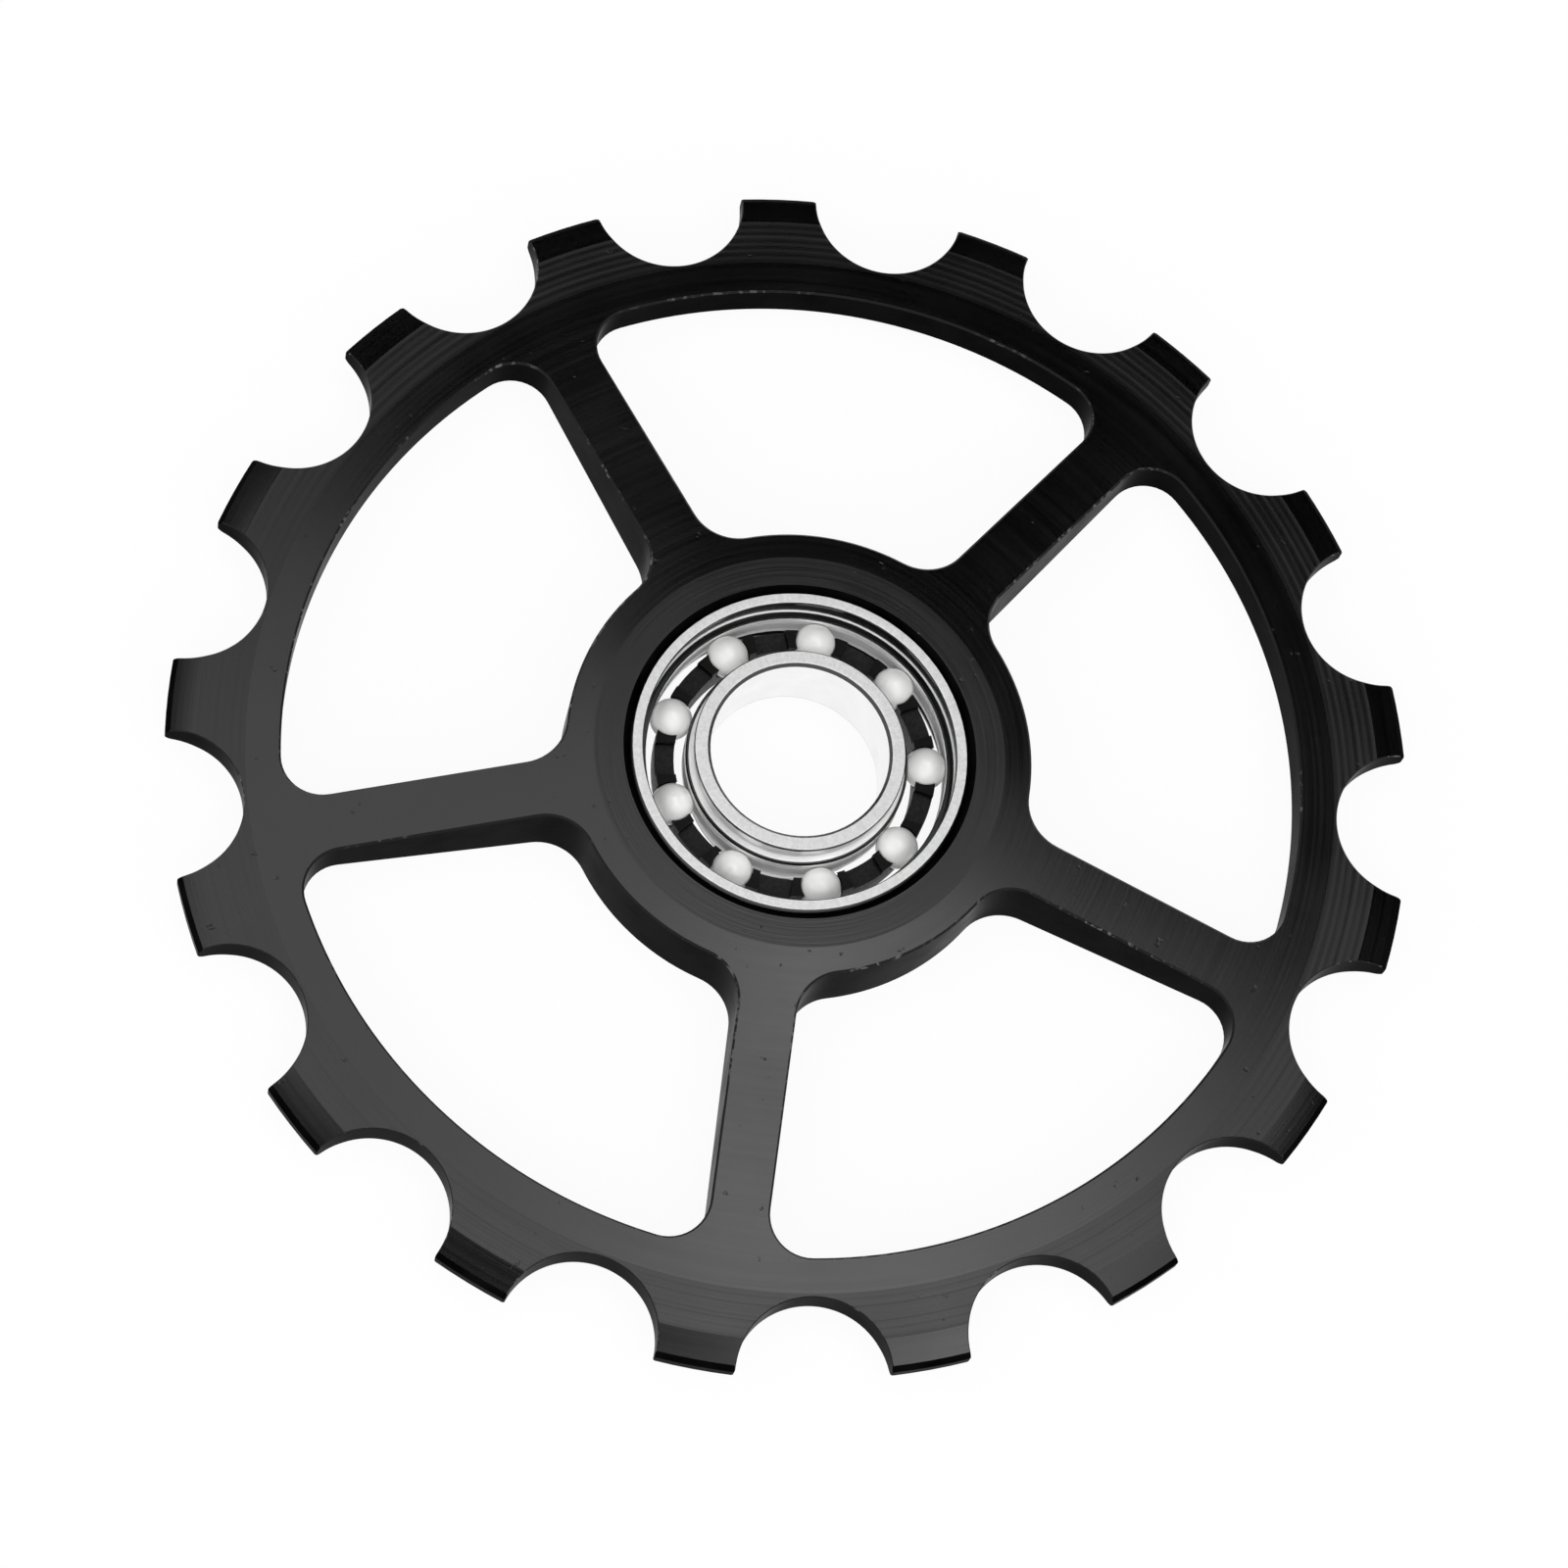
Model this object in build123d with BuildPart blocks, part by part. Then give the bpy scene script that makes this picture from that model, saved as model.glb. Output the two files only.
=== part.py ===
from build123d import *
import math
import os

# A derailleur jockey wheel: a turned and milled aluminium chain wheel with 17 teeth and five
# spokes, pressed onto an open ball bearing with ceramic balls in a crown cage.
# Millimetres. The axle lies along Z, the middle of the wheel is at the origin, and the wheel
# lies flat. One spoke and one tooth gap point along +X.

# Chain and teeth
TEETH = 17
CHAIN_PITCH = 12.7
ROLLER_DIAMETER = 7.75
TOOTH_GAP_RADIUS = 4.25
TOOTH_HEIGHT = 4.22
TOOTH_THICKNESS = 1.9
TIP_BEVEL = 1.75
TIP_CHAMFER = 0.3
TIP_THICKNESS = 0.7

# Rim, web, spokes and hub of the wheel
RIM_WIDTH = 2.12
TURNED_BAND_MARGIN = 0.18
WEB_THICKNESS_AT_RIM = 2.1
SPOKES = 5
SPOKE_WIDTH = 3.25
WINDOW_RIM_FILLET = 2.3
WINDOW_HUB_FILLET = 2.7
HUB_WALL = 3.5
HUB_FLAT = 2.0
SEAT_CHAMFER = 0.35
EDGE_BREAK = 0.12
TOOTH_EDGE_BREAK = 0.06

# Bearing rings
BORE_DIAMETER = 10.0
BEARING_DIAMETER = 19.0
BEARING_WIDTH = 5.0
RING_CHAMFER = 0.2
RING_EDGE = 0.08
INNER_RACE_WALL = 1.12
OUTER_RACE_WALL = 0.919
RACEWAY_DEPTH = 0.13
RACEWAY_TO_BALL = 0.52
SEAL_SEAT_DEPTH = 1.5
SEAL_SEAT_STEP = 0.3
SEAL_GROOVE_DEPTH = 0.15
SEAL_LIP = 0.3
INNER_SEAT_STEP = 0.34

# Balls and cage
BALLS = 9
BALL_PLAY = 0.04
FIRST_BALL_ANGLE = 26.0
CAGE_TO_BALL = 0.46
CAGE_FLOOR = 0.45
POCKET_PLAY = 0.08
HORN_ANGLE = 25.0
HORN_WALL = 0.32
SADDLE_HEIGHT = 0.1

# Radii of the wheel
pitch_radius = CHAIN_PITCH / (2 * math.sin(math.pi / TEETH))
root_radius = pitch_radius - ROLLER_DIAMETER / 2
gap_centre_radius = root_radius + TOOTH_GAP_RADIUS
tip_radius = root_radius + TOOTH_HEIGHT
bevel_radius = tip_radius - TIP_BEVEL
band_radius = root_radius - TURNED_BAND_MARGIN
rim_inner_radius = root_radius - RIM_WIDTH
seat_radius = BEARING_DIAMETER / 2
hub_radius = seat_radius + HUB_WALL
hub_flat_radius = seat_radius + HUB_FLAT
half_width = BEARING_WIDTH / 2

# Radii and heights of the bearing
bore_radius = BORE_DIAMETER / 2
inner_raceway_radius = bore_radius + INNER_RACE_WALL
outer_raceway_radius = seat_radius - OUTER_RACE_WALL
ball_circle_radius = (inner_raceway_radius + outer_raceway_radius) / 2
ball_diameter = outer_raceway_radius - inner_raceway_radius - 2 * BALL_PLAY
ball_radius = ball_diameter / 2
raceway_radius = RACEWAY_TO_BALL * ball_diameter
inner_land_radius = inner_raceway_radius + RACEWAY_DEPTH
outer_land_radius = outer_raceway_radius - RACEWAY_DEPTH
inner_face_radius = inner_land_radius - INNER_SEAT_STEP
outer_face_radius = outer_land_radius + SEAL_SEAT_STEP
seal_groove_radius = outer_face_radius + SEAL_GROOVE_DEPTH
seal_seat_height = half_width - SEAL_SEAT_DEPTH

# Angles and places of the cage
ball_step = 360 / BALLS
pocket_radius = ball_radius + POCKET_PLAY
cage_width = CAGE_TO_BALL * ball_diameter
cage_inner_radius = ball_circle_radius - cage_width / 2
cage_outer_radius = ball_circle_radius + cage_width / 2
cage_bottom = -(pocket_radius + CAGE_FLOOR)
horn_height = pocket_radius * math.sin(math.radians(HORN_ANGLE))
half_ball_spacing = ball_circle_radius * math.sin(math.radians(ball_step / 2))
saddle_length = 2 * (half_ball_spacing - pocket_radius - HORN_WALL)

# The toothed wheel is one piece of aluminium. Its section is turned about the axle first.
with BuildPart() as toothed_wheel:
    with BuildSketch(Plane.XZ):
        with BuildLine():
            upper_outline = Polyline(
                (seat_radius, 0),
                (seat_radius, half_width - SEAT_CHAMFER),
                (seat_radius + SEAT_CHAMFER, half_width),
                (hub_flat_radius, half_width),
                (band_radius, WEB_THICKNESS_AT_RIM / 2),
                (bevel_radius, TOOTH_THICKNESS / 2),
                (tip_radius - TIP_CHAMFER, TIP_THICKNESS / 2 + TIP_CHAMFER),
                (tip_radius, TIP_THICKNESS / 2),
                (tip_radius, 0),
            )
            mirror(upper_outline, about=Plane.XZ)
        make_face()
    revolve(axis=Axis.Z)

    # Windows between the spokes, with rounded corners
    with BuildSketch() as windows:
        Circle(rim_inner_radius)
        Circle(hub_radius, mode=Mode.SUBTRACT)
        with PolarLocations(0, SPOKES):
            Rectangle(
                2 * rim_inner_radius,
                SPOKE_WIDTH,
                align=(Align.MIN, Align.CENTER),
                mode=Mode.SUBTRACT,
            )
        fillet(windows.vertices().group_by(SortBy.DISTANCE)[-1], WINDOW_RIM_FILLET)
        fillet(windows.vertices().group_by(SortBy.DISTANCE)[0], WINDOW_HUB_FILLET)
    extrude(amount=half_width, both=True, mode=Mode.SUBTRACT)

    # Broken edges around the windows, on both faces of the web
    web_faces = toothed_wheel.faces().filter_by(GeomType.CONE).sort_by(SortBy.AREA)[-2:]
    web_wires = [wire for face in web_faces for wire in face.inner_wires()]
    chamfer([edge for wire in web_wires if len(wire.edges()) > 1 for edge in wire.edges()], EDGE_BREAK)

    # Tooth gaps, each a seat for one chain roller
    with BuildSketch():
        with PolarLocations(gap_centre_radius, TEETH):
            Circle(TOOTH_GAP_RADIUS)
    extrude(amount=half_width, both=True, mode=Mode.SUBTRACT)
    gap_faces = toothed_wheel.faces(Select.LAST).filter_by(GeomType.CYLINDER)
    gap_edges = gap_faces.edges().filter_by(Axis.Z, reverse=True)
    chamfer(gap_edges, TOOTH_EDGE_BREAK)

# The outer race has a raceway, two shoulders and a seal groove behind each face.
with BuildPart() as outer_race:
    with BuildSketch(Plane.XZ):
        with BuildLine():
            upper_outline = Polyline(
                (outer_land_radius, 0),
                (outer_land_radius, seal_seat_height - RING_EDGE),
                (outer_land_radius + RING_EDGE, seal_seat_height),
                (seal_groove_radius, seal_seat_height),
                (seal_groove_radius, half_width - SEAL_LIP - SEAL_GROOVE_DEPTH),
                (outer_face_radius, half_width - SEAL_LIP),
                (outer_face_radius, half_width - RING_EDGE),
                (outer_face_radius + RING_EDGE, half_width),
                (seat_radius - RING_CHAMFER, half_width),
                (seat_radius, half_width - RING_CHAMFER),
                (seat_radius, 0),
            )
            mirror(upper_outline, about=Plane.XZ)
        make_face()
    revolve(axis=Axis.Z)
    Torus(outer_raceway_radius - raceway_radius, raceway_radius, mode=Mode.SUBTRACT)

# The inner race has a raceway, two shoulders stepped down to the faces, and the bore.
with BuildPart() as inner_race:
    with BuildSketch(Plane.XZ):
        with BuildLine():
            upper_outline = Polyline(
                (bore_radius, 0),
                (bore_radius, half_width - RING_CHAMFER),
                (bore_radius + RING_CHAMFER, half_width),
                (inner_face_radius - RING_EDGE, half_width),
                (inner_face_radius, half_width - RING_EDGE),
                (inner_face_radius, seal_seat_height),
                (inner_land_radius - RING_EDGE, seal_seat_height),
                (inner_land_radius, seal_seat_height - RING_EDGE),
                (inner_land_radius, 0),
            )
            mirror(upper_outline, about=Plane.XZ)
        make_face()
    revolve(axis=Axis.Z)
    Torus(inner_raceway_radius + raceway_radius, raceway_radius, mode=Mode.SUBTRACT)

# The crown cage is a ring below the balls, with round pockets that open towards +Z.
with BuildPart() as ball_cage:
    with BuildSketch(Plane.XY.offset(cage_bottom)):
        Circle(cage_outer_radius)
        Circle(cage_inner_radius, mode=Mode.SUBTRACT)
    extrude(amount=horn_height - cage_bottom)
    with PolarLocations(ball_circle_radius, BALLS, start_angle=FIRST_BALL_ANGLE):
        Sphere(pocket_radius, mode=Mode.SUBTRACT)

    # Saddles between the horns, half way from ball to ball
    with BuildSketch(Plane.XY.offset(SADDLE_HEIGHT)):
        with PolarLocations(ball_circle_radius, BALLS, start_angle=FIRST_BALL_ANGLE + ball_step / 2):
            Rectangle(ball_diameter, saddle_length)
    extrude(amount=horn_height - SADDLE_HEIGHT, mode=Mode.SUBTRACT)

os.makedirs("parts", exist_ok=True)

toothed_wheel.part.label = "toothed_wheel"
export_step(toothed_wheel.part, "parts/toothed_wheel.step")

outer_race.part.label = "outer_race"
export_step(outer_race.part, "parts/outer_race.step")

inner_race.part.label = "inner_race"
export_step(inner_race.part, "parts/inner_race.step")

ball_cage.part.label = "ball_cage"
export_step(ball_cage.part, "parts/ball_cage.step")

# The balls, one piece each, evenly spaced on the ball circle
for number in range(BALLS):
    with BuildPart() as ball:
        with PolarLocations(ball_circle_radius, 1, start_angle=FIRST_BALL_ANGLE + number * ball_step):
            Sphere(ball_radius)
    ball.part.label = f"ball_{number + 1}"
    export_step(ball.part, f"parts/ball_{number + 1}.step")
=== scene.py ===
import bpy
import math
from mathutils import Matrix, Vector


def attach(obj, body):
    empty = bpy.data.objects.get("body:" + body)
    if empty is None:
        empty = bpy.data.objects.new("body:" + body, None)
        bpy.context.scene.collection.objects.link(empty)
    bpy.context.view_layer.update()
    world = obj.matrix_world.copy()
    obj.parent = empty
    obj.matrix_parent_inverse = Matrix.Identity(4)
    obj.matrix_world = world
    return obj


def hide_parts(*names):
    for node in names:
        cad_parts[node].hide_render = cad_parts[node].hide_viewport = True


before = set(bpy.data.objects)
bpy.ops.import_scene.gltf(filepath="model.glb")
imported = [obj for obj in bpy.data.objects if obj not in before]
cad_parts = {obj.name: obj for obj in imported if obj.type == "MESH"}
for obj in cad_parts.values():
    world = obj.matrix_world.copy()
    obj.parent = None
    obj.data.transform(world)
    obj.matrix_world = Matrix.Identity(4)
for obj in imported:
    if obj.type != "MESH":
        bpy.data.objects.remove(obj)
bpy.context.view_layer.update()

MM = 0.001

# The toothed wheel, in the same sizes as its solid
TEETH = 17
CHAIN_PITCH = 12.7 * MM
ROLLER_DIAMETER = 7.75 * MM
TOOTH_GAP_RADIUS = 4.25 * MM
TOOTH_HEIGHT = 4.22 * MM
TOOTH_THICKNESS = 1.9 * MM
TIP_BEVEL = 1.75 * MM
TIP_CHAMFER = 0.3 * MM
TIP_THICKNESS = 0.7 * MM
RIM_WIDTH = 2.12 * MM
TURNED_BAND_MARGIN = 0.18 * MM
WEB_THICKNESS_AT_RIM = 2.1 * MM
SPOKES = 5
SPOKE_WIDTH = 3.25 * MM
WINDOW_RIM_FILLET = 2.3 * MM
WINDOW_HUB_FILLET = 2.7 * MM
HUB_WALL = 3.5 * MM
HUB_FLAT = 2.0 * MM
SEAT_CHAMFER = 0.35 * MM
EDGE_BREAK = 0.12 * MM
TOOTH_EDGE_BREAK = 0.06 * MM

# The bearing, in the same sizes as its solids
BEARING_DIAMETER = 19.0 * MM
BEARING_WIDTH = 5.0 * MM
BORE_DIAMETER = 10.0 * MM
RING_CHAMFER = 0.2 * MM
INNER_RACE_WALL = 1.12 * MM
OUTER_RACE_WALL = 0.919 * MM
RACEWAY_DEPTH = 0.13 * MM
SEAL_SEAT_DEPTH = 1.5 * MM
SEAL_LIP = 0.3 * MM
SADDLE_HEIGHT = 0.1 * MM
BALLS = 9

# Finer forms of the wheel: rounded tooth corners, crowned tooth bevels, and turning grooves on the tooth
# band, each with its own depth, from the web outwards
TIP_CORNER = 0.1 * MM
BEVEL_CROWN = 0.012 * MM
GROOVE_DEPTHS = (0.008 * MM, 0.012 * MM, 0.007 * MM, 0.014 * MM, 0.009 * MM, 0.011 * MM)

# How finely the wheel is turned, and how finely its windows and tooth gaps are cut
TURNING_STEPS = 204
BEVEL_STATIONS = 6
STATIONS_PER_GROOVE = 4
HUB_ARC_STEPS = 10
RIM_ARC_STEPS = 20
FILLET_STEPS = 12
SPOKE_STEPS = 8
TIP_CORNER_STEPS = 6
GAP_STEPS = 40

# Points this near to each other are merged, and points this near to a ring's radius lie on the ring
MERGE_DISTANCE = 0.0001 * MM
RING_SLACK = 0.006 * MM

# How far the flare of a cutter runs on past the wheel's face
CUTTER_OVERRUN = 0.1 * MM

# Edges sharper than this many degrees stay crisp
CRISP_ANGLE = 25

# A face of the wheel is flat or upright by how much of its normal points along the axle
FLAT_FROM = 0.9
UPRIGHT_BELOW = 0.4

# Radii and heights that follow from these sizes
pitch_radius = CHAIN_PITCH / (2 * math.sin(math.pi / TEETH))
root_radius = pitch_radius - ROLLER_DIAMETER / 2
gap_centre_radius = root_radius + TOOTH_GAP_RADIUS
tip_radius = root_radius + TOOTH_HEIGHT
bevel_radius = tip_radius - TIP_BEVEL
chamfer_radius = tip_radius - TIP_CHAMFER
band_radius = root_radius - TURNED_BAND_MARGIN
rim_inner_radius = root_radius - RIM_WIDTH
seat_radius = BEARING_DIAMETER / 2
hub_radius = seat_radius + HUB_WALL
hub_flat_radius = seat_radius + HUB_FLAT
half_width = BEARING_WIDTH / 2
bore_radius = BORE_DIAMETER / 2
inner_land_radius = bore_radius + INNER_RACE_WALL + RACEWAY_DEPTH
outer_land_radius = seat_radius - OUTER_RACE_WALL - RACEWAY_DEPTH
ball_circle_radius = (inner_land_radius + outer_land_radius) / 2
half_ring_gap = (outer_land_radius - inner_land_radius) / 2
seal_seat_height = half_width - SEAL_SEAT_DEPTH

# Camera. Its lens and sensor are in millimetres, its near and far limits are in metres, and its shift is
# a share of the picture's width.
CAMERA_AZIMUTH = math.radians(5.015)
CAMERA_TILT = math.radians(21.769)
CAMERA_ROLL = math.radians(-21.214)
CAMERA_DISTANCE = 278.82 * MM
CAMERA_LENS = 114.79
CAMERA_SHIFT = (-0.00678, -0.01196)
CAMERA_SENSOR = 36.0
CAMERA_NEAR = 0.01
CAMERA_FAR = 20.0

# How far the painted shade reaches, a dark colour put where the rings lie in shade: down below the outer
# ring's seal lip, across the seal seats of the two rings, and over the edges of the seats towards the balls
LIP_PAINTED_SHADE = 1.1 * MM
INNER_SEAT_PAINTED_SHADE = 0.18 * MM
OUTER_SEAT_PAINTED_SHADE = 0.36 * MM
SEAT_EDGE_PAINTED_SHADE = 0.1 * MM

# How far off a face or an edge its finish ends
FACE_SLACK = 0.03 * MM
EDGE_SLACK = 0.02 * MM

# The oxide on the aluminium and the ceramic both bend light more than paint or plastic does
ANODISED_IOR = 1.68
CERAMIC_IOR = 1.8

# How much duller the grooved tooth band is than the rest of the turned faces
BAND_DULLNESS = 0.08

# Room: sizes and distances in metres, and levels of light where 1 is white
FLOOR_SIZE = 4.0
FLOOR_GLOW = 0.93
FLOOR_WHITE = 0.9
SKY_ON_OBJECT = 1.8
LAMP_DISTANCE = 1.0
FLAG_DISTANCE = 0.6

# Directions for the camera and the lamps: level to the right of the picture, level away from the camera,
# and straight up
right = Vector((math.cos(CAMERA_AZIMUTH), math.sin(CAMERA_AZIMUTH), 0))
away = Vector((-math.sin(CAMERA_AZIMUTH), math.cos(CAMERA_AZIMUTH), 0))
overhead = Vector((0, 0, 1))


def surface_height(radius):
    """The height of the wheel's upper face at a radius, before the grooves are turned."""
    corners = [
        (hub_flat_radius, half_width),
        (band_radius, WEB_THICKNESS_AT_RIM / 2),
        (bevel_radius, TOOTH_THICKNESS / 2),
        (chamfer_radius, TIP_THICKNESS / 2 + TIP_CHAMFER),
        (tip_radius, TIP_THICKNESS / 2),
    ]
    if radius <= hub_flat_radius:
        return half_width
    for (inner, inner_height), (outer, outer_height) in zip(corners, corners[1:]):
        if radius <= outer:
            share = (radius - inner) / (outer - inner)
            crown = BEVEL_CROWN * 4 * share * (1 - share) if inner == bevel_radius else 0.0
            return inner_height + share * (outer_height - inner_height) + crown
    return TIP_THICKNESS / 2


def wheel_section():
    """Half of the wheel's section, both faces: seat, hub face, web, grooved tooth band and bevelled tip."""
    upper = [
        (seat_radius, half_width - SEAT_CHAMFER),
        (seat_radius + SEAT_CHAMFER, half_width),
        (hub_flat_radius, half_width),
    ]
    stations = len(GROOVE_DEPTHS) * STATIONS_PER_GROOVE
    for station in range(stations + 1):
        radius = band_radius + station / stations * (bevel_radius - band_radius)
        turn = 2 * math.pi * station / STATIONS_PER_GROOVE
        depth = GROOVE_DEPTHS[min(station, stations - 1) // STATIONS_PER_GROOVE]
        upper.append((radius, surface_height(radius) - depth * (1 - math.cos(turn)) / 2))
    for station in range(1, BEVEL_STATIONS + 1):
        radius = bevel_radius + station / BEVEL_STATIONS * (chamfer_radius - bevel_radius)
        upper.append((radius, surface_height(radius)))
    upper.append((tip_radius, TIP_THICKNESS / 2))
    return upper + [(radius, -height) for radius, height in reversed(upper)]


def add_loop(name, points):
    """A closed loop of edges through the points, from a circle with as many corners."""
    bpy.ops.object.select_all(action="DESELECT")
    bpy.ops.mesh.primitive_circle_add(vertices=len(points), radius=MM)
    loop = bpy.context.object
    loop.name = name
    for vertex, point in zip(loop.data.vertices, points):
        vertex.co = point
    return loop


def turn_blank(name, section):
    """Spins a closed section of radii and heights about the axle, as on a lathe."""
    blank = add_loop(name, [(radius, 0, height) for radius, height in section])
    bpy.ops.object.mode_set(mode="EDIT")
    bpy.ops.mesh.select_all(action="SELECT")
    bpy.ops.mesh.spin(steps=TURNING_STEPS, angle=2 * math.pi, center=(0, 0, 0), axis=(0, 0, 1))
    bpy.ops.mesh.select_all(action="SELECT")
    bpy.ops.mesh.remove_doubles(threshold=MERGE_DISTANCE)
    bpy.ops.mesh.normals_make_consistent(inside=False)
    bpy.ops.object.mode_set(mode="OBJECT")
    return blank


def arc(centre, radius, start, end, steps):
    """Points along an arc, both ends included."""
    points = []
    for step in range(steps + 1):
        angle = start + (end - start) * step / steps
        points.append((centre[0] + radius * math.cos(angle), centre[1] + radius * math.sin(angle)))
    return points


def window_outline():
    """The window between the spoke along +X and the next one, with rounded corners, anticlockwise."""
    half_spoke = SPOKE_WIDTH / 2
    middle = math.pi / SPOKES
    hub_height = half_spoke + WINDOW_HUB_FILLET
    rim_height = half_spoke + WINDOW_RIM_FILLET
    hub_corner = (math.sqrt((hub_radius + WINDOW_HUB_FILLET) ** 2 - hub_height ** 2), hub_height)
    rim_corner = (math.sqrt((rim_inner_radius - WINDOW_RIM_FILLET) ** 2 - rim_height ** 2), rim_height)
    hub_angle = math.atan2(hub_corner[1], hub_corner[0])
    rim_angle = math.atan2(rim_corner[1], rim_corner[0])
    half = arc((0, 0), hub_radius, middle, hub_angle, HUB_ARC_STEPS)
    half += arc(hub_corner, WINDOW_HUB_FILLET, hub_angle + math.pi, 1.5 * math.pi, FILLET_STEPS)[1:]
    spoke_start = hub_corner[0]
    spoke_run = rim_corner[0] - spoke_start
    for step in range(1, SPOKE_STEPS):
        half.append((spoke_start + spoke_run * step / SPOKE_STEPS, half_spoke))
    half += arc(rim_corner, WINDOW_RIM_FILLET, -0.5 * math.pi, rim_angle, FILLET_STEPS)
    half += arc((0, 0), rim_inner_radius, rim_angle, middle, RIM_ARC_STEPS)[1:]
    mirror_cos = math.cos(2 * middle)
    mirror_sin = math.sin(2 * middle)
    other_half = [(x * mirror_cos + y * mirror_sin, x * mirror_sin - y * mirror_cos) for x, y in half]
    return half + other_half[-2:0:-1]


def gap_outline():
    """A chain roller's round seat with the rounded tooth corners on both sides of it, anticlockwise."""
    corner_radius = tip_radius - TIP_CORNER
    reach = TOOTH_GAP_RADIUS + TIP_CORNER
    corner_x = (corner_radius ** 2 - reach ** 2 + gap_centre_radius ** 2) / (2 * gap_centre_radius)
    corner_y = math.sqrt(corner_radius ** 2 - corner_x ** 2)
    tip_angle = math.atan2(corner_y, corner_x)
    wall_angle = math.atan2(corner_y, corner_x - gap_centre_radius)
    tip_end = (tip_radius * math.cos(tip_angle), tip_radius * math.sin(tip_angle))

    # The outline closes outside the wheel, a few corner radii clear of the tooth tip
    clear = (tip_end[0] + 4 * TIP_CORNER, tip_end[1] + 2 * TIP_CORNER)
    half = [clear]
    half += arc((corner_x, corner_y), TIP_CORNER, tip_angle, wall_angle - math.pi, TIP_CORNER_STEPS)
    half += arc((gap_centre_radius, 0), TOOTH_GAP_RADIUS, wall_angle, math.pi, GAP_STEPS)[1:]
    return half + [(x, -y) for x, y in reversed(half[:-1])]


def outward_directions(outline):
    """For each point of an anticlockwise outline, the level direction that points out of it."""
    directions = []
    for index, point in enumerate(outline):
        before = Vector(outline[index - 1])
        after = Vector(outline[(index + 1) % len(outline)])
        here = Vector(point)
        along = ((here - before).normalized() + (after - here).normalized()).normalized()
        directions.append(Vector((along.y, -along.x)))
    return directions


def flared_cutter(name, outline, edge_break):
    """A tool with the outline's straight walls, flared where it leaves the wheel to break the edges."""
    flare = edge_break + CUTTER_OVERRUN
    clear_height = 2 * half_width
    directions = outward_directions(outline)
    count = len(outline)
    flared = [(x + flare * out.x, y + flare * out.y) for (x, y), out in zip(outline, directions)]
    tops = [surface_height(math.hypot(x, y)) for x, y in outline]
    flared_tops = [surface_height(math.hypot(x, y)) for x, y in flared]
    upper_loops = [
        [(*point, top - edge_break) for point, top in zip(outline, tops)],
        [(*point, top + CUTTER_OVERRUN) for point, top in zip(flared, flared_tops)],
        [(*point, clear_height) for point in flared],
    ]
    lower_loops = [[(x, y, -height) for x, y, height in loop] for loop in reversed(upper_loops)]
    loops = lower_loops + upper_loops
    cutter = add_loop(name, loops[0])
    bpy.ops.object.mode_set(mode="EDIT")
    bpy.ops.mesh.select_all(action="SELECT")
    bpy.ops.mesh.edge_face_add()
    for _ in loops[1:]:
        bpy.ops.mesh.extrude_region_move()
    bpy.ops.object.mode_set(mode="OBJECT")
    for level, loop in enumerate(loops):
        for index, point in enumerate(loop):
            cutter.data.vertices[level * count + index].co = point
    bpy.ops.object.mode_set(mode="EDIT")
    bpy.ops.mesh.select_all(action="SELECT")
    bpy.ops.mesh.normals_make_consistent(inside=False)
    bpy.ops.object.mode_set(mode="OBJECT")
    return cutter


def ring_of(piece, count):
    """Copies a piece round the axle and joins the copies into one."""
    copies = [piece]
    for number in range(1, count):
        copy = piece.copy()
        copy.data = piece.data.copy()
        copy.data.transform(Matrix.Rotation(2 * math.pi * number / count, 4, "Z"))
        bpy.context.scene.collection.objects.link(copy)
        copies.append(copy)
    bpy.ops.object.select_all(action="DESELECT")
    for copy in copies:
        copy.select_set(True)
    bpy.context.view_layer.objects.active = piece
    bpy.ops.object.join()
    return piece


def cut_away(piece, cutter):
    """Takes the cutter's shape out of a piece."""
    bpy.ops.object.select_all(action="DESELECT")
    bpy.context.view_layer.objects.active = piece
    cut = piece.modifiers.new("cut", "BOOLEAN")
    cut.operation = "DIFFERENCE"
    cut.object = cutter
    cut.solver = "MANIFOLD"
    bpy.ops.object.modifier_apply(modifier=cut.name)
    bpy.data.objects.remove(cutter)


def smooth(piece, degrees):
    """Shades a piece smooth, but for edges that are sharper than the angle."""
    bpy.ops.object.select_all(action="DESELECT")
    piece.select_set(True)
    bpy.context.view_layer.objects.active = piece
    bpy.ops.object.shade_smooth_by_angle(angle=math.radians(degrees))


def sharpen_ring(piece, radius):
    """Keeps the corner crisp where two turned faces meet at a radius."""
    for edge in piece.data.edges:
        ends = [piece.data.vertices[index].co for index in edge.vertices]
        if all(abs(math.hypot(end.x, end.y) - radius) < RING_SLACK for end in ends):
            edge.use_edge_sharp = True


def finish_faces(wheel, faces, walls, edges):
    """Gives each face of the wheel the finish of how it was cut: turned, milled or broken by hand."""
    wheel.data.materials.clear()
    for finish in (faces, walls, edges):
        wheel.data.materials.append(finish)
    for polygon in wheel.data.polygons:
        flatness = abs(polygon.normal.z)
        radius = math.hypot(polygon.center.x, polygon.center.y)
        rubbed = hub_flat_radius < radius < chamfer_radius
        if flatness > FLAT_FROM:
            polygon.material_index = 0
        elif flatness < UPRIGHT_BELOW or not rubbed:
            polygon.material_index = 1
        else:
            polygon.material_index = 2


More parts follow.
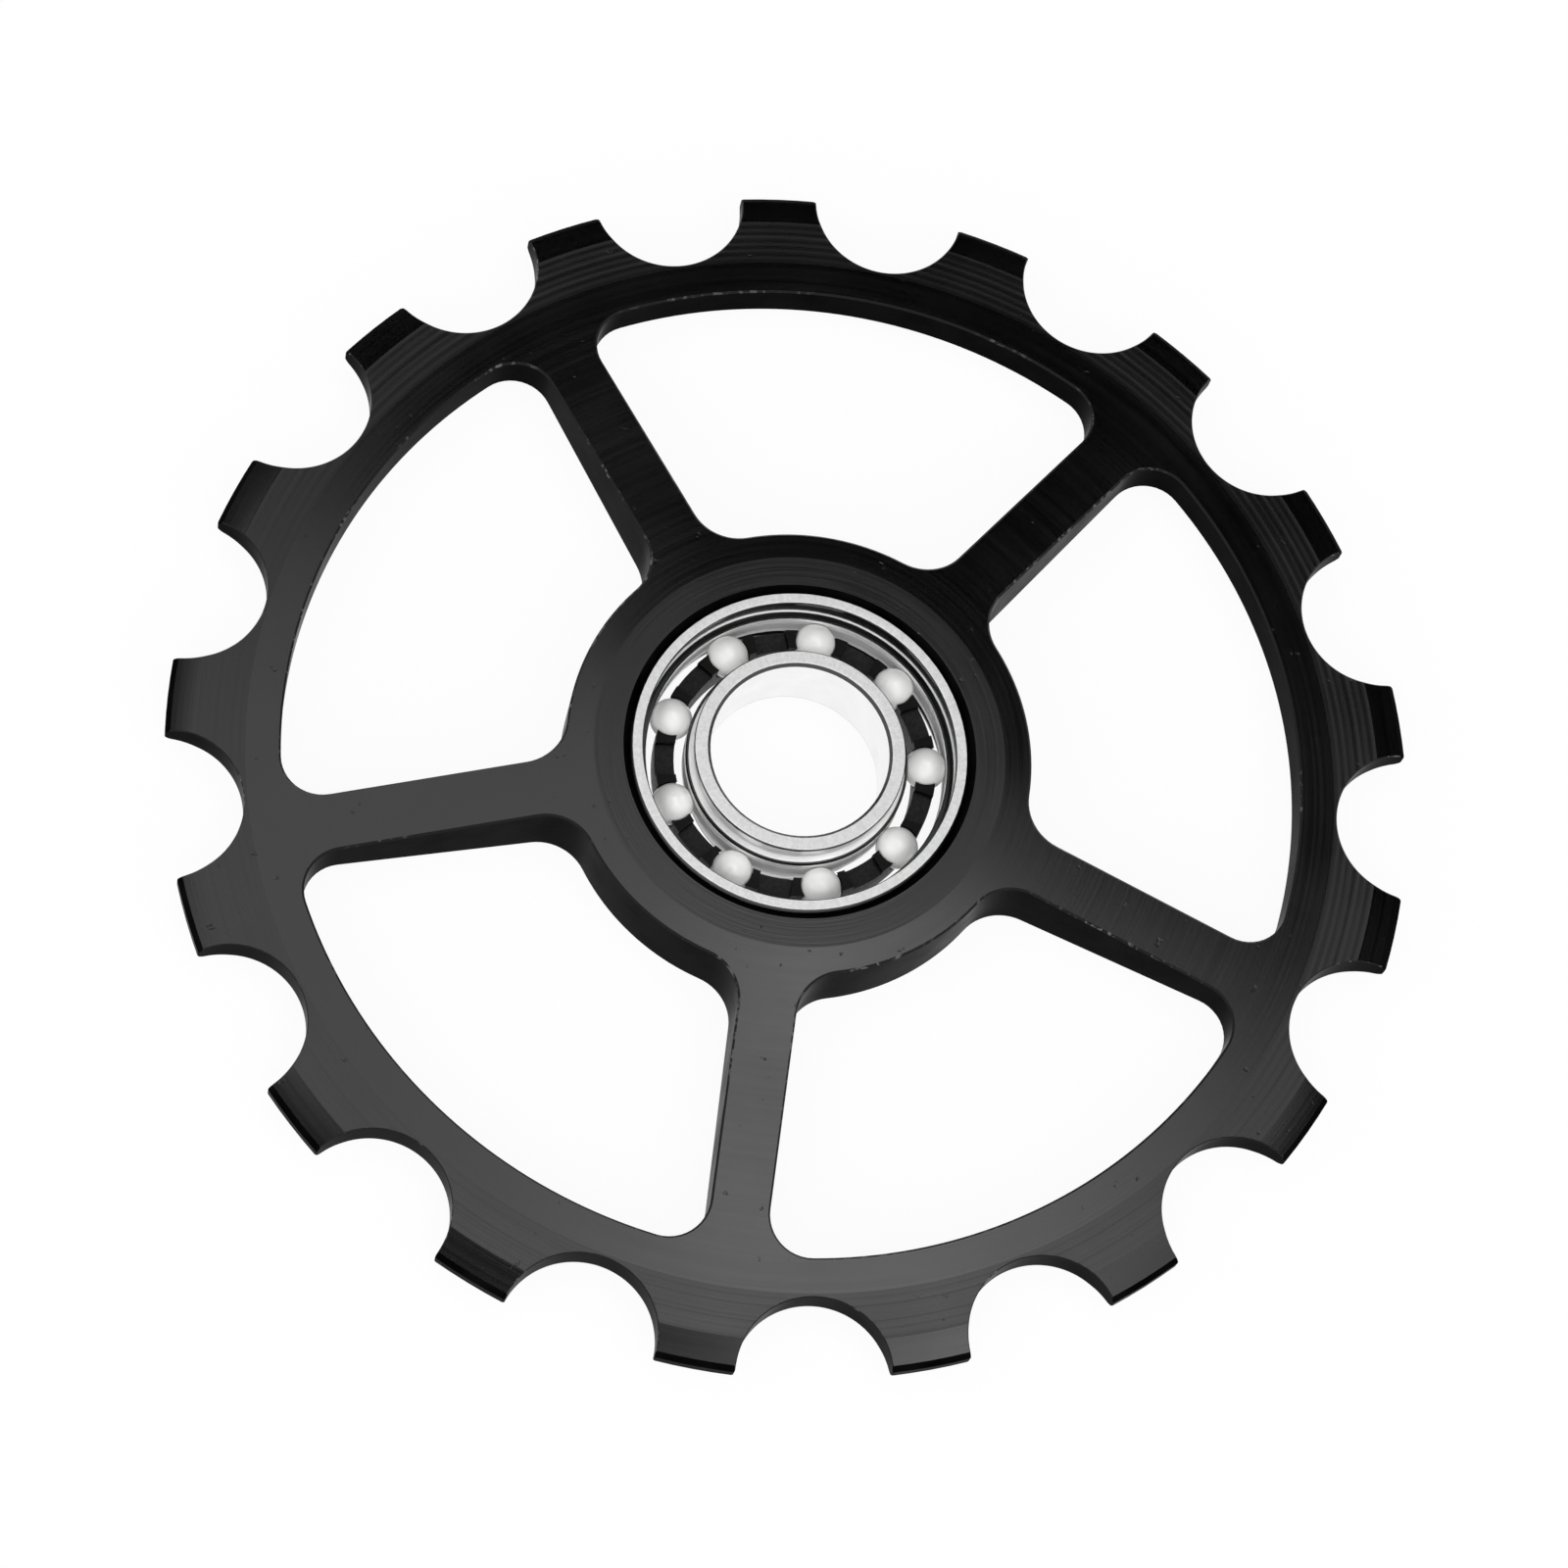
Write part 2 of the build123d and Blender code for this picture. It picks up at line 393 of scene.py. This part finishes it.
def make_wheel():
    """The wheel, turned, then milled with five windows and seventeen tooth gaps."""
    wheel = turn_blank("turned_wheel", wheel_section())
    cut_away(wheel, ring_of(flared_cutter("window_cutter", window_outline(), EDGE_BREAK), SPOKES))
    cut_away(wheel, ring_of(flared_cutter("gap_cutter", gap_outline(), TOOTH_EDGE_BREAK), TEETH))
    smooth(wheel, CRISP_ANGLE)
    sharpen_ring(wheel, hub_flat_radius)
    sharpen_ring(wheel, bevel_radius)
    sharpen_ring(wheel, chamfer_radius)
    finish_faces(wheel, turned_black(), milled_black(), rubbed_edge())
    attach(wheel, "wheel")
    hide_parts("toothed_wheel")


def new_material(name):
    """A new material, with its node tree and its shader."""
    material = bpy.data.materials.new(name)
    material.use_nodes = True
    tree = material.node_tree
    return material, tree, tree.nodes["Principled BSDF"]


def feed(tree, source, socket):
    """Links a socket to a source, or sets it where the source is a plain value."""
    if isinstance(source, bpy.types.NodeSocket):
        tree.links.new(source, socket)
    else:
        socket.default_value = source


def maths(tree, operation, first, second=0.0):
    """One step of arithmetic on one or two values."""
    node = tree.nodes.new("ShaderNodeMath")
    node.operation = operation
    feed(tree, first, node.inputs[0])
    feed(tree, second, node.inputs[1])
    return node.outputs[0]


def vector_maths(tree, operation, first, second=None):
    """One step of arithmetic on places, directions or colours."""
    node = tree.nodes.new("ShaderNodeVectorMath")
    node.operation = operation
    feed(tree, first, node.inputs[0])
    if second is not None:
        feed(tree, second, node.inputs["Scale"] if operation == "SCALE" else node.inputs[1])
    return node.outputs["Value"] if operation == "LENGTH" else node.outputs["Vector"]


def own_place(tree):
    """The piece's own coordinates, in metres."""
    return tree.nodes.new("ShaderNodeTexCoord").outputs["Object"]


def own_height(tree):
    """The height above or below the middle of the wheel."""
    parts = tree.nodes.new("ShaderNodeSeparateXYZ")
    tree.links.new(own_place(tree), parts.inputs[0])
    return maths(tree, "ABSOLUTE", parts.outputs["Z"])


def level_place(tree):
    """The piece's own coordinates without their height."""
    return vector_maths(tree, "MULTIPLY", own_place(tree), (1, 1, 0))


def own_radius(tree):
    """The distance from the axle."""
    return vector_maths(tree, "LENGTH", level_place(tree))


def lathe_place(tree, round_scale, radius_scale):
    """A place for noise with one scale round the axle and another along the radius."""
    radius = maths(tree, "MULTIPLY", own_radius(tree), radius_scale)
    outward = vector_maths(tree, "NORMALIZE", level_place(tree))
    direction = vector_maths(tree, "SCALE", outward, round_scale)
    lifted = tree.nodes.new("ShaderNodeCombineXYZ")
    tree.links.new(radius, lifted.inputs["Z"])
    return vector_maths(tree, "ADD", direction, lifted.outputs[0])


def noise(tree, place, scale=1.0, detail=2.0):
    """Cloudy values about 0.5, finer with a larger scale and rougher with more detail."""
    node = tree.nodes.new("ShaderNodeTexNoise")
    tree.links.new(place, node.inputs["Vector"])
    node.inputs["Scale"].default_value = scale
    node.inputs["Detail"].default_value = detail
    return node.outputs["Fac"]


def spread(tree, value, low, high, from_low=0.3, from_high=0.7):
    """Spreads the middle of a noise over a range of values."""
    node = tree.nodes.new("ShaderNodeMapRange")
    feed(tree, value, node.inputs["Value"])
    node.inputs["From Min"].default_value = from_low
    node.inputs["From Max"].default_value = from_high
    node.inputs["To Min"].default_value = low
    node.inputs["To Max"].default_value = high
    return node.outputs["Result"]


def blend_values(tree, share, first, second):
    """The first value where the share is 0, the second where it is 1."""
    node = tree.nodes.new("ShaderNodeMix")
    feed(tree, share, node.inputs["Factor"])
    feed(tree, first, node.inputs["A"])
    feed(tree, second, node.inputs["B"])
    return node.outputs["Result"]


def grey(tree, level, tint=(1.0, 1.0, 1.0)):
    """A colour of one level, a little tinted."""
    return vector_maths(tree, "SCALE", tint, level)


def bump(tree, shader, layers):
    """Adds relief to a shader: each layer is a height from 0 to 1 and a depth in metres."""
    below = None
    for height, depth in layers:
        node = tree.nodes.new("ShaderNodeBump")
        node.inputs["Strength"].default_value = 1.0
        node.inputs["Distance"].default_value = depth
        tree.links.new(height, node.inputs["Height"])
        if below is not None:
            tree.links.new(below, node.inputs["Normal"])
        below = node.outputs["Normal"]
    tree.links.new(below, shader.inputs["Normal"])


def turned_black():
    """Black anodised aluminium off the lathe: fine rings, a faint grain, smudges and a few pits."""
    material, tree, shader = new_material("turned_black")
    shader.inputs["IOR"].default_value = ANODISED_IOR
    rings = noise(tree, lathe_place(tree, round_scale=1.2, radius_scale=5500), detail=3)
    fine_rings = noise(tree, lathe_place(tree, round_scale=2.5, radius_scale=15000))
    grain = noise(tree, own_place(tree), scale=12000)
    smudges = noise(tree, own_place(tree), scale=140, detail=4)
    pit_noise = noise(tree, own_place(tree), scale=1500, detail=3)
    pits = spread(tree, pit_noise, low=1, high=0, from_low=0.71, from_high=0.76)

    smudge_level = spread(tree, smudges, low=0.0012, high=0.0022)
    level = maths(tree, "MULTIPLY", smudge_level, spread(tree, rings, low=0.3, high=1.7))
    feed(tree, grey(tree, level, tint=(1.0, 1.0, 1.02)), shader.inputs["Base Color"])

    radius = own_radius(tree)
    past_web = maths(tree, "GREATER_THAN", radius, band_radius)
    before_bevel = maths(tree, "LESS_THAN", radius, bevel_radius)
    band = maths(tree, "MULTIPLY", past_web, before_bevel)
    smudge_roughness = spread(tree, smudges, low=0.19, high=0.24)
    roughness = maths(tree, "ADD", smudge_roughness, spread(tree, rings, low=-0.02, high=0.02))
    roughness = maths(tree, "ADD", roughness, maths(tree, "MULTIPLY", band, BAND_DULLNESS))
    feed(tree, roughness, shader.inputs["Roughness"])
    bump(tree, shader, [
        (grain, 0.0008 * MM),
        (rings, 0.004 * MM),
        (fine_rings, 0.001 * MM),
        (pits, 0.01 * MM),
    ])
    return material


def milled_black():
    """Cut walls of the windows and tooth gaps: black, a little mottled, paler at a glance along them."""
    material, tree, shader = new_material("milled_black")
    shader.inputs["Specular IOR Level"].default_value = 0.003
    patches = noise(tree, own_place(tree), scale=420, detail=5)
    grain = noise(tree, own_place(tree), scale=7000)
    feed(tree, grey(tree, spread(tree, patches, low=0.0003, high=0.003)), shader.inputs["Base Color"])
    feed(tree, spread(tree, patches, low=0.3, high=0.2), shader.inputs["Roughness"])
    bump(tree, shader, [(grain, 0.003 * MM)])
    return material


def rubbed_edge():
    """The broken edges: black, with specks of bare aluminium where they have been rubbed."""
    material, tree, shader = new_material("rubbed_edge")
    shader.inputs["Specular IOR Level"].default_value = 0.2
    speck_noise = noise(tree, own_place(tree), scale=2600, detail=3)
    specks = spread(tree, speck_noise, low=0, high=1, from_low=0.54, from_high=0.64)
    stretch_noise = noise(tree, own_place(tree), scale=160, detail=2)
    stretches = spread(tree, stretch_noise, low=0, high=1, from_low=0.5, from_high=0.64)
    bare = maths(tree, "MULTIPLY", specks, stretches)
    level = blend_values(tree, bare, first=0.0025, second=0.16)
    feed(tree, grey(tree, level), shader.inputs["Base Color"])
    feed(tree, bare, shader.inputs["Metallic"])
    feed(tree, blend_values(tree, bare, first=0.34, second=0.45), shader.inputs["Roughness"])
    grain = noise(tree, own_place(tree), scale=9000)
    bump(tree, shader, [(grain, 0.002 * MM)])
    return material


def painted_shade_share(tree, height, radius, below_seat):
    """1 where shade is painted dark on a bearing ring: its corners, under the seal lip, on the seal seat.
    """
    near_face = maths(tree, "GREATER_THAN", height, half_width - RING_CHAMFER - EDGE_SLACK)
    on_outer_ring = maths(tree, "GREATER_THAN", radius, ball_circle_radius)
    under_lip = maths(tree, "GREATER_THAN", height, half_width - SEAL_LIP - LIP_PAINTED_SHADE)
    groove = maths(tree, "MAXIMUM", near_face, maths(tree, "MULTIPLY", under_lip, on_outer_ring))

    above_seat = maths(tree, "GREATER_THAN", height, seal_seat_height + EDGE_SLACK)
    at_seat = maths(tree, "SUBTRACT", 1.0, maths(tree, "ADD", above_seat, below_seat))
    seat_shade_reach = blend_values(tree, on_outer_ring, INNER_SEAT_PAINTED_SHADE, OUTER_SEAT_PAINTED_SHADE)
    off_balls = maths(tree, "ABSOLUTE", maths(tree, "SUBTRACT", radius, ball_circle_radius))
    past_edge = maths(tree, "SUBTRACT", off_balls, half_ring_gap)
    seat_edge = maths(tree, "MULTIPLY", at_seat, maths(tree, "LESS_THAN", past_edge, seat_shade_reach))
    return maths(tree, "MAXIMUM", groove, seat_edge)


def bearing_steel():
    """Bearing rings: brushed faces, pale polished walls, and painted shade, a dark colour in corners,
    grooves and seats.
    """
    material, tree, shader = new_material("bearing_steel")
    height = own_height(tree)
    radius = own_radius(tree)
    below_face = maths(tree, "LESS_THAN", height, half_width - FACE_SLACK)
    below_seat = maths(tree, "LESS_THAN", height, seal_seat_height - SEAT_EDGE_PAINTED_SHADE)
    off_bore = maths(tree, "GREATER_THAN", radius, bore_radius + FACE_SLACK)
    # Painted shade: the ring corners, the groove under the seal lip and the edges of the seal seats are
    # coloured dark
    painted_shade = maths(tree, "MULTIPLY", painted_shade_share(tree, height, radius, below_seat), below_face)
    streaks = noise(tree, lathe_place(tree, round_scale=30, radius_scale=900), detail=4)
    fine_streaks = noise(tree, lathe_place(tree, round_scale=150, radius_scale=3000), detail=2)
    specks = noise(tree, own_place(tree), scale=7000, detail=2)
    cloud = noise(tree, own_place(tree), scale=500, detail=3)

    streak_level = spread(tree, streaks, low=0.8, high=0.88)
    brushed = maths(tree, "MULTIPLY", streak_level, spread(tree, specks, low=0.92, high=1.08))
    # Where shade is painted, the walls are coloured dark, 0.08, in place of their pale 0.93
    wall_level = blend_values(tree, painted_shade, first=0.93, second=0.08)
    polished = maths(tree, "MULTIPLY", wall_level, spread(tree, cloud, low=0.96, high=1.04))
    feed(tree, grey(tree, blend_values(tree, below_face, brushed, polished)), shader.inputs["Base Color"])

    pale = maths(tree, "MULTIPLY", off_bore, maths(tree, "SUBTRACT", 1.0, painted_shade))
    pale_shine = blend_values(tree, below_seat, first=0.45, second=0.15)
    wall_shine = blend_values(tree, pale, first=1.0, second=pale_shine)
    feed(tree, blend_values(tree, below_face, first=0.6, second=wall_shine), shader.inputs["Metallic"])
    brushed_roughness = spread(tree, streaks, low=0.44, high=0.54)
    polished_roughness = spread(tree, cloud, low=0.18, high=0.24)
    roughness = blend_values(tree, below_face, brushed_roughness, polished_roughness)
    feed(tree, roughness, shader.inputs["Roughness"])
    bump(tree, shader, [(fine_streaks, 0.0008 * MM)])
    return material


def cage_nylon():
    """Moulded black nylon with a soft grain, a little paler on the saddles between the horns."""
    material, tree, shader = new_material("cage_nylon")
    shader.inputs["Specular IOR Level"].default_value = 0.2
    grain = noise(tree, own_place(tree), scale=5000, detail=3)
    flow = noise(tree, own_place(tree), scale=700, detail=2)
    off_saddle = maths(tree, "ABSOLUTE", maths(tree, "SUBTRACT", own_height(tree), SADDLE_HEIGHT))
    saddle = maths(tree, "LESS_THAN", off_saddle, FACE_SLACK)
    moulded_level = spread(tree, flow, low=0.0015, high=0.0035)
    saddle_level = spread(tree, grain, low=0.006, high=0.02)
    level = blend_values(tree, saddle, moulded_level, saddle_level)
    feed(tree, grey(tree, level), shader.inputs["Base Color"])
    feed(tree, spread(tree, grain, low=0.4, high=0.55), shader.inputs["Roughness"])
    bump(tree, shader, [(grain, 0.004 * MM)])
    return material


def ball_ceramic():
    """Polished white ceramic, faintly clouded."""
    material, tree, shader = new_material("ball_ceramic")
    shader.inputs["IOR"].default_value = CERAMIC_IOR
    cloud = noise(tree, own_place(tree), scale=900, detail=4)
    level = spread(tree, cloud, low=0.91, high=0.95)
    feed(tree, grey(tree, level, tint=(1.0, 1.0, 0.985)), shader.inputs["Base Color"])
    feed(tree, spread(tree, cloud, low=0.05, high=0.09), shader.inputs["Roughness"])
    return material


def dress(node, material):
    """Gives a CAD node its finish."""
    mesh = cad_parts[node].data
    mesh.materials.clear()
    mesh.materials.append(material)


def add_camera():
    """A long lens that looks down on the wheel, turned about its own axis."""
    back = overhead * math.cos(CAMERA_TILT) - away * math.sin(CAMERA_TILT)
    upward = away * math.cos(CAMERA_TILT) + overhead * math.sin(CAMERA_TILT)
    camera_right = right * math.cos(CAMERA_ROLL) - upward * math.sin(CAMERA_ROLL)
    camera_up = right * math.sin(CAMERA_ROLL) + upward * math.cos(CAMERA_ROLL)
    data = bpy.data.cameras.new("camera")
    data.lens = CAMERA_LENS
    data.sensor_width = CAMERA_SENSOR
    data.shift_x, data.shift_y = CAMERA_SHIFT
    data.clip_start = CAMERA_NEAR
    data.clip_end = CAMERA_FAR
    camera = bpy.data.objects.new("camera", data)
    bpy.context.scene.collection.objects.link(camera)
    facing = Matrix((camera_right, camera_up, back)).transposed().to_4x4()
    camera.matrix_world = Matrix.Translation(back * CAMERA_DISTANCE) @ facing
    bpy.context.scene.camera = camera


def direction_at(x_degrees, y_degrees):
    """The direction that many degrees to the right of overhead and away from the camera."""
    to_right = right * math.tan(math.radians(x_degrees))
    to_far_side = away * math.tan(math.radians(y_degrees))
    return (overhead + to_right + to_far_side).normalized()


def facing_place(x, y, distance, turn=0.0):
    """Where a lamp or card stands that far off in a direction, facing the wheel, turned by some degrees."""
    towards = direction_at(x, y)
    side = (right - towards * right.dot(towards)).normalized()
    facing = Matrix((side, towards.cross(side), towards)).transposed().to_4x4()
    return Matrix.Translation(towards * distance) @ facing @ Matrix.Rotation(math.radians(turn), 4, "Z")


def angular_size(half_angle, distance):
    """How wide a thing is at a distance if it fills that many degrees each side of its middle."""
    return 2 * distance * math.tan(math.radians(half_angle))


def add_softbox(name, x, y, half_x, half_y, radiance):
    """A lamp centred on a direction from the wheel, as wide and as high as the half angles say."""
    data = bpy.data.lights.new(name, "AREA")
    data.shape = "RECTANGLE"
    data.size = angular_size(half_x, LAMP_DISTANCE)
    data.size_y = angular_size(half_y, LAMP_DISTANCE)
    data.energy = radiance * math.pi * data.size * data.size_y
    lamp = bpy.data.objects.new(name, data)
    bpy.context.scene.collection.objects.link(lamp)
    lamp.matrix_world = facing_place(x, y, LAMP_DISTANCE)


def add_flag(name, x, y, half_x, half_y, turn=0.0):
    """A black card that keeps light off one side. It isn't seen by the camera itself."""
    bpy.ops.object.select_all(action="DESELECT")
    bpy.ops.mesh.primitive_plane_add(size=1.0)
    flag = bpy.context.object
    flag.name = name
    size = Matrix.Diagonal((angular_size(half_x, FLAG_DISTANCE), angular_size(half_y, FLAG_DISTANCE), 1, 1))
    flag.data.transform(facing_place(x, y, FLAG_DISTANCE, turn) @ size)
    flag.visible_camera = False
    flag.data.materials.append(card_black())


def card_black():
    """Black card without any shine."""
    material, _, shader = new_material("card_black")
    shader.inputs["Base Color"].default_value = (0.0, 0.0, 0.0, 1)
    shader.inputs["Specular IOR Level"].default_value = 0.0
    shader.inputs["Roughness"].default_value = 1.0
    return material


def seen_directly(tree):
    """1 for rays from the camera, from a reflection or through glass, and 0 for the rest."""
    path = tree.nodes.new("ShaderNodeLightPath")
    open_view = maths(tree, "MAXIMUM", path.outputs["Is Camera Ray"], path.outputs["Is Glossy Ray"])
    return maths(tree, "MAXIMUM", open_view, path.outputs["Is Transmission Ray"])


def floor_white():
    """Matt white that glows where it is seen, so that it shows as plain white."""
    material = bpy.data.materials.new("floor_white")
    material.use_nodes = True
    tree = material.node_tree
    tree.nodes.clear()
    diffuse = tree.nodes.new("ShaderNodeBsdfDiffuse")
    diffuse.inputs["Color"].default_value = (FLOOR_WHITE, FLOOR_WHITE, FLOOR_WHITE, 1)
    glow = tree.nodes.new("ShaderNodeEmission")
    mix = tree.nodes.new("ShaderNodeMixShader")
    feed(tree, maths(tree, "MULTIPLY", seen_directly(tree), FLOOR_GLOW), mix.inputs["Fac"])
    tree.links.new(diffuse.outputs[0], mix.inputs[1])
    tree.links.new(glow.outputs[0], mix.inputs[2])
    out = tree.nodes.new("ShaderNodeOutputMaterial")
    tree.links.new(mix.outputs[0], out.inputs["Surface"])
    return material


def add_floor():
    """A white floor, on which the wheel lies."""
    bpy.ops.object.select_all(action="DESELECT")
    bpy.ops.mesh.primitive_plane_add(size=FLOOR_SIZE, location=(0, 0, -half_width))
    floor = bpy.context.object
    floor.name = "floor"
    floor.data.materials.append(floor_white())


def set_world():
    """A white room all round, which lights the wheel more brightly than it shows itself."""
    world = bpy.data.worlds.new("white_room")
    bpy.context.scene.world = world
    world.use_nodes = True
    tree = world.node_tree
    background = tree.nodes["Background"]
    background.inputs["Color"].default_value = (1, 1, 1, 1)
    strength = blend_values(tree, seen_directly(tree), SKY_ON_OBJECT, 1.0)
    feed(tree, strength, background.inputs["Strength"])


make_wheel()
steel = bearing_steel()
dress("outer_race", steel)
dress("inner_race", steel)
dress("ball_cage", cage_nylon())
ceramic = ball_ceramic()
for number in range(1, BALLS + 1):
    dress(f"ball_{number}", ceramic)

add_camera()
add_floor()
set_world()

# Lamps and cards, each in degrees from overhead
add_softbox("right_softbox", x=6, y=10, half_x=6.5, half_y=8, radiance=1.25)
add_softbox("low_softbox", x=18.5, y=-5, half_x=4, half_y=4, radiance=2.0)
add_flag("far_flag", x=0, y=47, half_x=46, half_y=25.4, turn=-10)
add_flag("near_flag", x=-9.5, y=-12, half_x=16.5, half_y=8)
add_flag("left_flag", x=-46, y=13, half_x=14.5, half_y=14)
add_flag("right_flag", x=46, y=18, half_x=14.5, half_y=12)

bpy.context.scene.view_settings.view_transform = "Standard"
